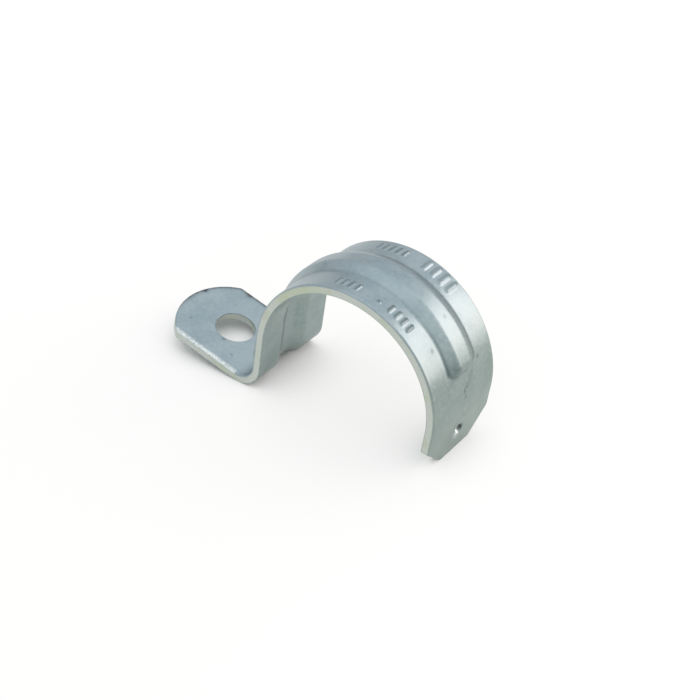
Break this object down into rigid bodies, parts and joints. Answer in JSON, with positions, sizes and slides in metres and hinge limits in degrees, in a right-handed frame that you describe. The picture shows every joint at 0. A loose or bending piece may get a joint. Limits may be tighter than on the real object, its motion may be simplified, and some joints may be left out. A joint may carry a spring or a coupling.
{
  "type": "conduit strap",
  "caption": "One-hole strap pressed from a strip of zinc-plated steel, with a half-round saddle, a stiffening rib and a flat screw tab.",
  "frame": {"origin": "centre of the screw hole, on the tab's underside, which lies on the wall", "axes": "+X along the strap towards its free end, +Y across the strip along the conduit, +Z away from the wall"},
  "size_m": [0.0765, 0.024, 0.0448],
  "materials": {
    "zinc_plated_steel": "bright zinc plate, satin"
  },
  "bodies": {
    "root": {"strap": "zinc_plated_steel"}
  },
  "joints": []
}
